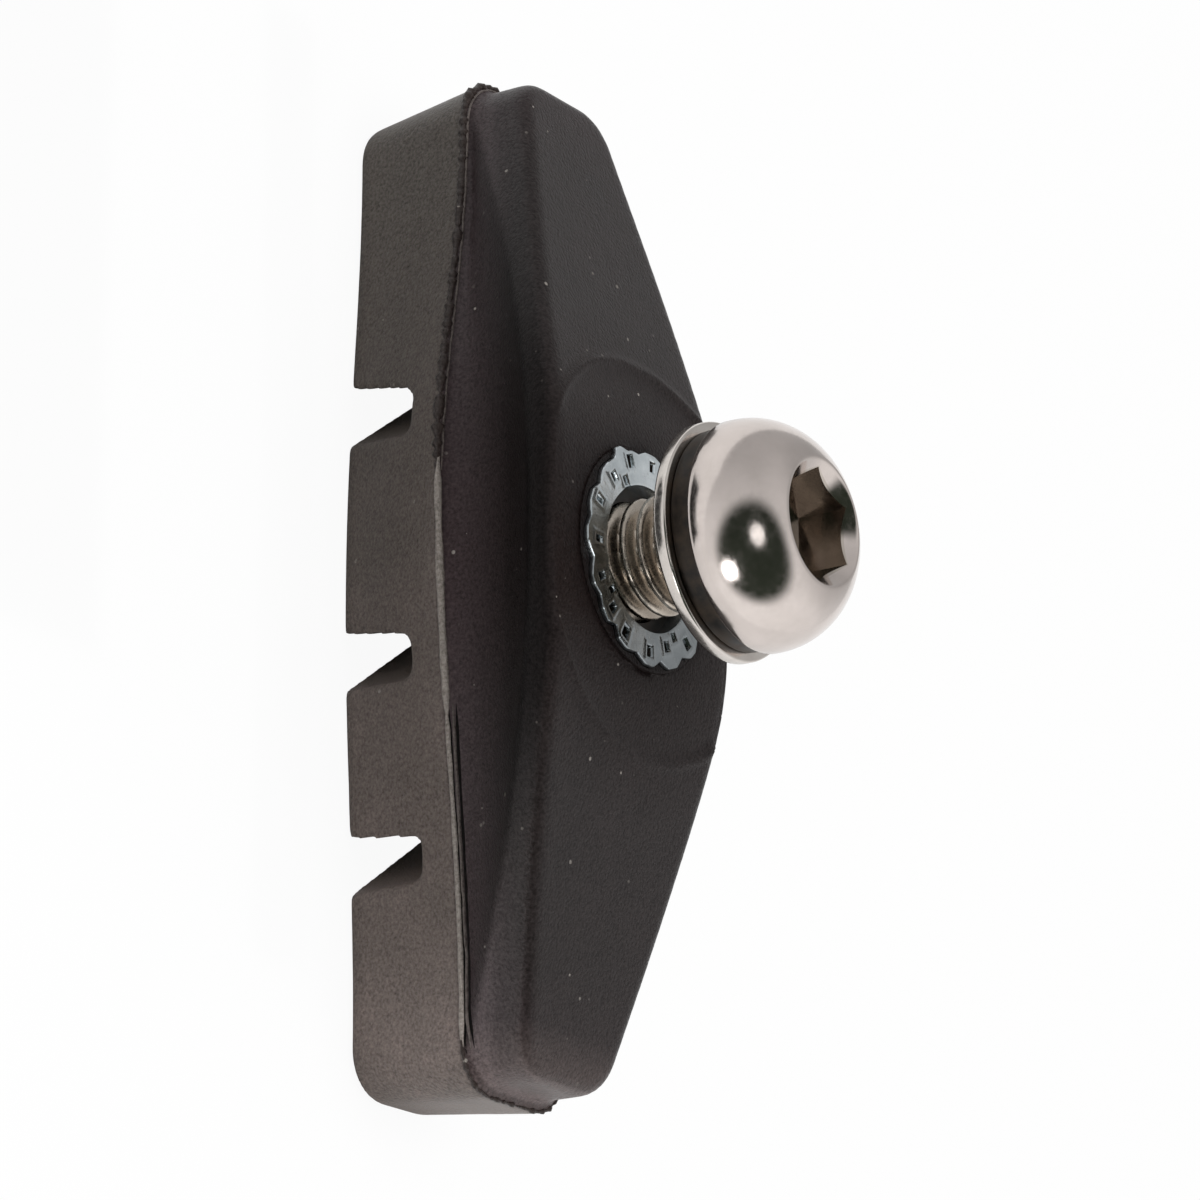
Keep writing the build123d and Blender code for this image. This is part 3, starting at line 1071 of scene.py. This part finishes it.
def rubber_color(shader, below, back, scoop, front, painted_light):
    """Colour of the rubber: dark on the back, and greyer in the scoops, below the ridge and at one end as
    painted light.
    """
    blotch = shader.noise(BLOTCH_SIZE, detail=5.0)
    smooth = shader.ramp(blotch, *BLOTCH_RANGE, [BLOTCH_SHADE * level for level in back], back)
    # painted light: lighter low on the back by the ridge
    low_on_back = shader.spread(shader.z, RIDGE_TOP, SCOOP_TOP, 1.0, 0.0)
    upper = shader.mix(low_on_back, smooth, scoop)
    # painted light: lighter below the ridge
    lower = shader.mix(below, upper, front)
    # painted light: lighter and patchy towards the +X end below the ridge, and at the tip
    toward_end = shader.spread(shader.x, FADE_START * block_high.x, block_high.x, 0.0, 1.0)
    patchy = shader.math("MULTIPLY", toward_end, blotch)
    lit_lower_end = shader.math("MULTIPLY", patchy, below)
    tip = shader.spread(shader.x, TIP_START * block_high.x, block_high.x, 0.0, TIP_SHARE)
    return shader.mix(shader.math("MAXIMUM", lit_lower_end, tip), lower, painted_light)


def dusted(shader, color):
    """A colour with small pale specks of dust on it."""
    cells = shader.node("ShaderNodeTexVoronoi", {"Vector": shader.place, "Scale": 1 / DUST_SPACING})
    pick = shader.node("ShaderNodeSeparateColor", {"Color": cells.outputs["Color"]})
    size = shader.spread(pick.outputs["Green"], 0.0, 1.0, *DUST_SIZES)
    inside = shader.math("SUBTRACT", cells.outputs["Distance"], size)
    near = shader.spread(inside, -DUST_EDGE, 0.0, 1.0, 0.0)
    chosen = shader.spread(pick.outputs["Red"], *DUST_PICK, 0.0, DUST_COVER)
    return shader.mix(shader.math("MULTIPLY", near, chosen), color, DUST)


def rubber_shine(shader, below):
    """How much the rubber shines: least round the insert, as painted shade, and most below the ridge."""
    flat = shader.node("ShaderNodeCombineXYZ", {"X": shader.x, "Y": shader.y}).outputs["Vector"]
    gloss = shader.spread(shader.length(flat), *SHINE_REACH, *BACK_SHINE)
    return shader.math("MINIMUM", shader.math("MAXIMUM", gloss, below), FRONT_SHINE)


def rubber_material(name, back, scoop, front, painted_light):
    """Dark satin rubber with fine grain and pale dust, with painted light and shade from the mesh's tone and
    the rim band in its colour and shine.
    """
    shader = Shader(name)
    below = shader.spread(shader.z, RIDGE_LEVEL, RIDGE_TOP, 1.0, 0.0)
    color = dusted(shader, rubber_color(shader, below, back, scoop, front, painted_light))
    grain = shader.noise(GRAIN_SIZE, detail=3.0, roughness=0.6)
    mottle = shader.spread(grain, *GRAIN_RANGE, *GRAIN_TONE)
    # the tone attribute and the rim band are painted light and shade, in colour and shine
    tone = shader.node("ShaderNodeAttribute", attribute_name="tone").outputs["Fac"]
    painted_shading = shader.math("MULTIPLY", painted_rim_shade(shader), tone)
    shader.set("Base Color", shader.scale(shader.scale(color, mottle), painted_shading))
    shader.set("Roughness", shader.spread(grain, *ROUGH_RANGE, *RUBBER_ROUGH))
    glint = shader.math("MULTIPLY", rubber_shine(shader, below), mottle)
    shader.set("Specular IOR Level", shader.math("MULTIPLY", glint, painted_shading))
    fine = shader.bump(grain, *GRAIN_BUMP)
    shader.set("Normal", shader.bump(shader.noise(COARSE_SIZE), *COARSE_BUMP, fine))
    return shader.material


def cleft_shadow_material():
    """Painted shadow: dull black strips that stand for the shade in the narrow clefts beside the flash."""
    shader = Shader("cleft_shadow")
    shader.set("Base Color", shader.ramp(shader.noise(CLEFT_SHADOW_SIZE), *GRAIN_RANGE, CLEFT_SHADOW_DARK, CLEFT_SHADOW_LIGHT))
    shader.set("Roughness", CLEFT_SHADOW_ROUGH)
    shader.set("Specular IOR Level", CLEFT_SHADOW_SHINE)
    return shader.material


def metal_material(name, color, tint, roughness, grain_size, relief, fade=1.0):
    """Plated metal with uneven gloss and a fine grain, which may be darkened along the pad as painted shade.
    """
    shader = Shader(name)
    shader.set("Metallic", 1.0)
    tone = shader.ramp(shader.noise(CLOUD_SIZE, detail=5.0), *CLOUD_RANGE, color, tint)
    # painted shade: darker along the pad by the fade
    painted_fade = shader.spread(shader.x, *PAINTED_SHADE_RUN, 1.0, fade)
    shader.set("Base Color", shader.scale(tone, painted_fade))
    grain = shader.noise(grain_size, detail=5.0, roughness=0.6)
    shader.set("Roughness", shader.spread(grain, *GRAIN_RANGE, *roughness))
    shader.set("Normal", shader.bump(grain, *relief))
    return shader.material


def dark_material():
    """Blackened spring steel with brown patches."""
    shader = Shader("dark_steel")
    shader.set("Metallic", STEEL_METALLIC)
    cloud = shader.noise(STEEL_CLOUD, detail=5.0)
    shader.set("Base Color", shader.ramp(cloud, *STEEL_RANGE, STEEL_DARK, STEEL_BROWN))
    shader.set("Roughness", shader.spread(cloud, *GRAIN_RANGE, *STEEL_ROUGH))
    shader.set("Normal", shader.bump(cloud, *STEEL_BUMP))
    return shader.material


# Studio


def view_axes():
    """Right, up and back axes of the camera."""
    east, north = math.cos(VIEW_AZIMUTH), math.sin(VIEW_AZIMUTH)
    level = math.cos(VIEW_ELEVATION)
    back = Vector((north * level, -east * level, math.sin(VIEW_ELEVATION)))
    sideways = Vector((east, north, 0))
    upright = back.cross(sideways)
    right = sideways * math.cos(VIEW_ROLL) + upright * math.sin(VIEW_ROLL)
    return right, back.cross(right), back


def make_camera():
    """Camera at the photograph's viewing angle, with the pad standing on end in the picture."""
    right, up, back = view_axes()
    data = bpy.data.cameras.new("camera")
    data.sensor_width = SENSOR
    data.lens = VIEW_LENS
    data.clip_start = VIEW_NEAR
    data.clip_end = VIEW_FAR
    camera = placed("camera", data)
    aim = Vector((0, 0, RIDGE_LEVEL))
    eye = aim + right * VIEW_RIGHT + up * VIEW_UP + back * VIEW_DISTANCE
    turn = Matrix((right, up, back)).transposed().to_4x4()
    camera.matrix_world = Matrix.Translation(eye) @ turn
    bpy.context.scene.camera = camera


def stage_sheet(name, corners, material):
    """Flat four-cornered piece of the studio."""
    mesh = bpy.data.meshes.new(name)
    mesh.from_pydata([tuple(corner) for corner in corners], [], [[0, 1, 2, 3]])
    mesh.materials.append(material)
    sheet = placed(name, mesh)
    return sheet


def floor_material():
    """Matt white that is plain white to the camera and, away from the pad, to reflections."""
    material = bpy.data.materials.new("floor")
    nodes = Nodes(material)
    off_pad = nodes.length(nodes.node("ShaderNodeTexCoord").outputs["Object"])
    away = nodes.spread(off_pad, *GLOW_REACH, 0.0, 1.0, "SMOOTHSTEP")
    ray = nodes.node("ShaderNodeLightPath").outputs
    mirrored = nodes.math("MAXIMUM", ray["Is Glossy Ray"], ray["Is Transmission Ray"])
    seen = nodes.math("MAXIMUM", ray["Is Camera Ray"], nodes.math("MULTIPLY", mirrored, away))
    share = nodes.math("MULTIPLY", seen, FLOOR_GLOW)
    paint = nodes.node("ShaderNodeBsdfDiffuse", {"Color": (FLOOR_WHITE, FLOOR_WHITE, FLOOR_WHITE, 1)})
    glow = nodes.node("ShaderNodeEmission", {"Strength": 1.0})
    mix = nodes.blend(share, paint.outputs["BSDF"], glow.outputs["Emission"])
    nodes.node("ShaderNodeOutputMaterial", {"Surface": mix})
    return material


def make_floor():
    """White floor that keeps the pad's shadow, and ends short of the camera's side."""
    toward = Vector((DARK_SIDE[0], DARK_SIDE[1], 0)).normalized()
    across = Vector((-toward.y, toward.x, 0))
    near, far, half = toward * FLOOR_NEAR, -toward * FLOOR_REACH, across * FLOOR_REACH
    stage_sheet("floor", [near - half, near + half, far + half, far - half], floor_material())


def sky_cone(nodes, place, direction, outer, inner, to_low, to_high):
    """Value that changes from the outside of a cone of the sky to its inside."""
    values = {0: place, 1: Vector(direction).normalized()}
    facing = nodes.node("ShaderNodeVectorMath", values, operation="DOT_PRODUCT").outputs["Value"]
    return nodes.spread(facing, math.cos(outer), math.cos(inner), to_low, to_high, "SMOOTHSTEP")


def make_world():
    """White tent, brighter at one end, dimmer at the back and open to a dark room at the camera's side."""
    world = bpy.data.worlds.new("studio")
    bpy.context.scene.world = world
    nodes = Nodes(world)
    place = nodes.node("ShaderNodeTexCoord").outputs["Generated"]
    opening = sky_cone(nodes, place, DARK_SIDE, *DARK_CONE, 0.0, 1.0)
    far = sky_cone(nodes, place, FAR_SIDE, *FAR_CONE, 1.0, FAR_DIM)
    along = nodes.node("ShaderNodeSeparateXYZ", {"Vector": place}).outputs["X"]
    level = nodes.math("MULTIPLY", nodes.spread(along, -1.0, 1.0, *SKY_LEVELS), far)
    color = nodes.mix(opening, (1, 1, 1, 1), DARK_COLOR)
    tent = nodes.node("ShaderNodeBackground", {"Color": color, "Strength": level})
    white = nodes.node("ShaderNodeBackground", {"Color": (1, 1, 1, 1)})
    to_camera = nodes.node("ShaderNodeLightPath").outputs["Is Camera Ray"]
    mix = nodes.blend(to_camera, tent.outputs["Background"], white.outputs["Background"])
    nodes.node("ShaderNodeOutputWorld", {"Surface": mix})


def make_flag(name, left, right, near, far):
    """Black flag on the floor before the pad, met only by reflected and scattered light."""
    shader = Shader(name)
    shader.set("Base Color", (FLAG_BLACK, FLAG_BLACK, FLAG_BLACK, 1))
    shader.set("Roughness", 1.0)
    edges = ((left, near), (right, near), (right, far), (left, far))
    flag = stage_sheet(name, [(x, y, FLAG_HEIGHT) for x, y in edges], shader.material)
    flag.visible_camera = False
    flag.visible_shadow = False


def make_lamp(name, direction, distance, size, power, mirrored=True):
    """Round soft lamp that faces the bolt's head, and may be left out of reflections."""
    data = bpy.data.lights.new(name, "AREA")
    data.shape = "DISK"
    data.size = size
    data.energy = power
    lamp = placed(name, data)
    place = Vector(direction).normalized()
    lamp.location = Vector((0, 0, ring_high.z)) + place * distance
    lamp.visible_glossy = mirrored
    lamp.rotation_mode = "QUATERNION"
    lamp.rotation_quaternion = (-place).to_track_quat("-Z", "Y")


# The pad
# The block: its rubber carries painted light and shade, its pale flash lines painted highlights, and its
# dark strips painted shadow
make_block(
    {
        "rubber": rubber_material("rubber", RUBBER, SCOOP_LIGHT_RUBBER, FRONT_LIGHT_RUBBER, END_LIGHT_RUBBER),
        "lip": rubber_material("lip_rubber", *[LIP_RUBBER] * 4),
        "painted_light": rubber_material("highlight_rubber", *[HIGHLIGHT_RUBBER] * 4),
        "dim_highlight": rubber_material("dim_highlight_rubber", *[DIM_HIGHLIGHT_RUBBER] * 4),
        "cleft_shadow": cleft_shadow_material(),
    }
)
zinc = metal_material("zinc", *ZINC, fade=ZINC_PAINTED_SHADE)
chrome = metal_material("chrome", *CHROME)
thread = metal_material("thread", *THREAD)
bright = metal_material("bright", *BRIGHT)
dull = metal_material("dull", *DULL)
dark = dark_material()
# The blackened steel also serves as painted shade on the insert's deep faces
make_insert(zinc, dark)
make_washer(bright)
make_ring(dark)
make_bolt(chrome, thread, dull)

# The studio
make_camera()
make_floor()
make_world()
make_flag("band_flag", *BAND_FLAG)
make_flag("deep_flag", *DEEP_FLAG)
make_lamp("high_lamp", *HIGH_LAMP)
make_lamp("low_lamp", *LOW_LAMP)
make_lamp("top_lamp", *TOP_LAMP, mirrored=False)
bpy.context.scene.view_settings.view_transform = "Standard"
